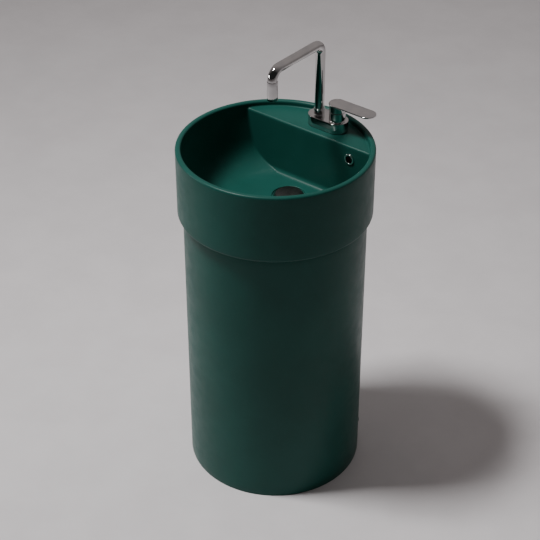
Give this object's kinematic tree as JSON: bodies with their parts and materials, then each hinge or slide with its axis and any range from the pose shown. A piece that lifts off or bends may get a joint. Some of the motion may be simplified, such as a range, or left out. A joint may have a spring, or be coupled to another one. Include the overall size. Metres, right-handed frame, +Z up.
{
  "type": "pedestal washbasin",
  "caption": "Free-standing round pedestal washbasin in matt green ceramic with a raised tap deck, a swivelling spout, a lever mixer, a push-open waste and an overflow.",
  "frame": {"origin": "centre of the round foot, on the floor", "axes": "+Z up, +Y towards the tap deck (the back), -Y towards the user, +X towards the lever's tip"},
  "size_m": [0.442, 0.4418, 1.046],
  "materials": {
    "green_ceramic": "matt glaze with soft highlights",
    "chrome": "polished",
    "brushed_steel": "dark, finely turned",
    "zinc_steel": "zinc plated",
    "brass": "raw, machined",
    "copper": "drawn copper tube",
    "black_rubber": "matt",
    "white_plastic": "moulded",
    "trap_chrome": "satin plated",
    "grey_plastic": "moulded"
  },
  "bodies": {
    "stand": {"pedestal": "green_ceramic", "basin": "green_ceramic", "basin_gasket": "black_rubber", "access_cover": "green_ceramic", "cover_rails": "zinc_steel", "cover_screws": "zinc_steel", "floor_brackets": "zinc_steel", "bracket_bolts": "zinc_steel", "bracket_nuts": "zinc_steel", "bolt_caps": "green_ceramic", "overflow_ring": "chrome", "overflow_duct": "grey_plastic", "waste_body": "chrome", "waste_top_gasket": "black_rubber", "waste_bottom_gasket": "black_rubber", "waste_washer": "white_plastic", "waste_nut": "brass", "waste_spider": "brass", "click_cartridge": "white_plastic", "trap_inlet_nut": "trap_chrome", "trap_inlet_seal": "black_rubber", "trap_dip_tube": "trap_chrome", "trap_top_nut": "trap_chrome", "trap_body": "trap_chrome", "trap_cup": "trap_chrome", "trap_cup_seal": "black_rubber", "trap_outlet_nut": "trap_chrome", "outlet_pipe": "trap_chrome", "tap_body": "chrome", "tap_gasket": "black_rubber", "mounting_stud": "zinc_steel", "horseshoe_rubber": "black_rubber", "horseshoe_plate": "zinc_steel", "stud_nut": "brass", "hot_tail": "copper", "cold_tail": "copper", "cartridge_body": "white_plastic", "cartridge_nut": "brass", "turret_dome": "chrome", "spout_collar": "chrome"},
    "spout": {"spout_tube": "chrome", "spout_slide_ring": "white_plastic", "spout_o_rings": "black_rubber", "aerator_sleeve": "chrome", "aerator_insert": "grey_plastic", "aerator_washer": "black_rubber"},
    "mixer_core": {"cartridge_rotor": "grey_plastic", "pivot_pin": "zinc_steel"},
    "lever": {"lever_spindle": "zinc_steel", "lever_hub": "chrome", "lever_plate": "chrome", "lever_grub_screw": "zinc_steel"},
    "waste_plug": {"waste_stem": "zinc_steel", "waste_cap": "brushed_steel", "waste_cap_seal": "black_rubber"}
  },
  "joints": [
    {"name": "spout_swivel", "type": "hinge", "parent": "stand", "child": "spout", "pos_m": [0, 0.16, 0.87], "axis": [0, 0, 1], "range_deg": [-60, 60]},
    {"name": "mixer_turn", "type": "hinge", "parent": "stand", "child": "mixer_core", "pos_m": [0.05, 0.16, 0.87899], "axis": [0, 0, 1], "range_deg": [-45, 45]},
    {"name": "mixer_lift", "type": "hinge", "parent": "mixer_core", "child": "lever", "pos_m": [0.05, 0.16, 0.87899], "axis": [0, -1, 0], "range_deg": [0, 20]},
    {"name": "waste_lift", "type": "slide", "parent": "stand", "child": "waste_plug", "axis": [0, 0, 1], "range_m": [0, 0.008]}
  ]
}
